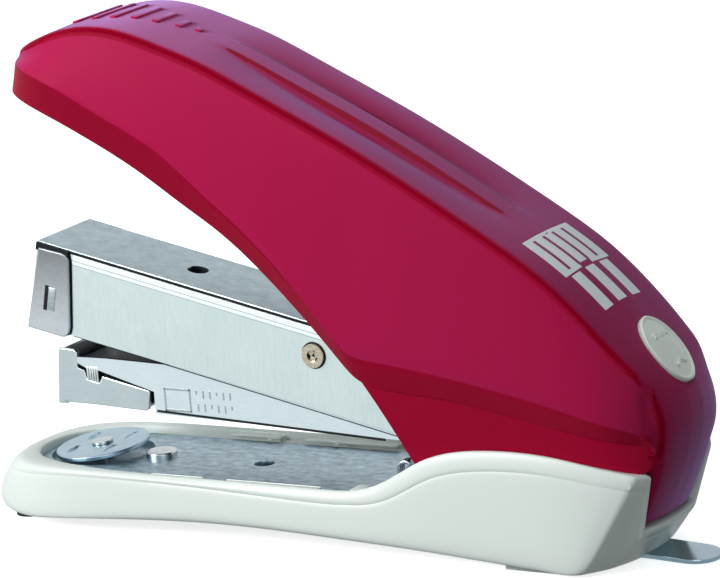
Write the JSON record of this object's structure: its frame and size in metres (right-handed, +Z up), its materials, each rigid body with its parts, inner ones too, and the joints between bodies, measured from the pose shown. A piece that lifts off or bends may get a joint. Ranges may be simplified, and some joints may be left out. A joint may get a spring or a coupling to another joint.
{
  "type": "desk stapler",
  "caption": "Desk stapler standing open: plastic base with plate, turning anvil and staple remover, hinged steel magazine and driver housing, and a curved plastic handle with a release button.",
  "frame": {"origin": "on the desk, under the middle of the stapler's length and width", "axes": "+X from the nose to the stern, +Y to the stapler's left seen from its nose towards its stern, +Z up"},
  "size_m": [0.1504, 0.0352, 0.0951],
  "materials": {
    "base_plastic": "satin",
    "plate_zinc": "satin",
    "rivet_steel": "satin",
    "clip_plastic": "satin",
    "foot_rubber": "matte",
    "remover_steel": "polished",
    "pin_steel": "satin",
    "spring_steel": "satin",
    "anvil_steel": "satin",
    "nickel_sheet": "satin",
    "tray_steel": "satin",
    "staple_wire": "polished",
    "follower_steel": "satin",
    "front_plate_steel": "satin",
    "eyelet_brass": "polished",
    "frame_steel": "satin",
    "handle_plastic": "satin",
    "button_plastic": "satin"
  },
  "bodies": {
    "base": {"base_shell": "base_plastic", "base_plate": "plate_zinc", "plate_rivets": "rivet_steel", "plate_clips": "clip_plastic", "front_foot": "foot_rubber", "rear_feet": "foot_rubber", "staple_remover": "remover_steel", "remover_rivet": "rivet_steel", "hinge_pin": "pin_steel", "lift_spring": "spring_steel"},
    "anvil_lifter": {"anvil_spindle": "anvil_steel", "anvil_spring": "spring_steel"},
    "anvil": {"anvil_disc": "anvil_steel"},
    "magazine": {"magazine_channel": "nickel_sheet"},
    "latch": {"release_latch": "nickel_sheet"},
    "tray": {"tray_head": "tray_steel", "core_rail": "tray_steel", "guide_rod": "pin_steel", "staple_strip": "staple_wire"},
    "follower": {"follower": "follower_steel", "follower_spring": "spring_steel"},
    "driver": {"driver_housing": "nickel_sheet", "front_plate": "front_plate_steel", "driver_blade": "pin_steel", "tube_eyelets": "eyelet_brass", "return_spring": "spring_steel"},
    "handle": {"handle_frame": "frame_steel", "handle_shell": "handle_plastic", "button_spring": "spring_steel"},
    "button": {"release_button": "button_plastic"}
  },
  "joints": [
    {"name": "handle_hinge", "type": "hinge", "parent": "base", "child": "handle", "pos_m": [0.04275, 0, 0.026], "axis": [0, -1, 0], "range_deg": [0, 24], "stiffness_Nm_per_rad": 0.6, "springref_deg": -17.19, "deforming": ["return_spring"]},
    {"name": "driver_hinge", "type": "hinge", "parent": "base", "child": "driver", "pos_m": [0.04275, 0, 0.026], "axis": [0, -1, 0], "range_deg": [0, 13]},
    {"name": "magazine_hinge", "type": "hinge", "parent": "base", "child": "magazine", "pos_m": [0.04275, 0, 0.026], "axis": [0, -1, 0], "range_deg": [0, 4.85], "deforming": ["lift_spring"]},
    {"name": "tray_slide", "type": "slide", "parent": "magazine", "child": "tray", "axis": [0.9995, 0, -0.0314], "range_m": [-0.05, 0]},
    {"name": "follower_slide", "type": "slide", "parent": "tray", "child": "follower", "axis": [0.9995, 0, -0.0314], "range_m": [0, 0.045], "stiffness_N_per_m": 40, "springref_m": -0.02, "deforming": ["follower_spring"]},
    {"name": "button_press", "type": "slide", "parent": "handle", "child": "button", "axis": [-0.7804, 0, -0.6252], "range_m": [0, 0.0025], "stiffness_N_per_m": 300, "springref_m": -0.002, "deforming": ["button_spring"]},
    {"name": "latch_drop", "type": "slide", "parent": "magazine", "child": "latch", "axis": [0, 0, -1], "range_m": [0, 0.00105]},
    {"name": "anvil_lift", "type": "slide", "parent": "base", "child": "anvil_lifter", "axis": [0.0785, 0.0695, -0.9945], "range_m": [-0.0025, 0], "stiffness_N_per_m": 250, "springref_m": 0.002, "deforming": ["anvil_spring"]},
    {"name": "anvil_turn", "type": "hinge", "parent": "anvil_lifter", "child": "anvil", "pos_m": [-0.05205, 0, 0.0124], "axis": [-0.0785, -0.0695, 0.9945], "range_deg": [0, 180]}
  ],
  "couplings": [
    {"joint": "driver_hinge", "follows": "handle_hinge", "ratio": 0.54},
    {"joint": "magazine_hinge", "follows": "handle_hinge", "ratio": 0.2},
    {"joint": "latch_drop", "follows": "button_press", "ratio": 0.4}
  ]
}
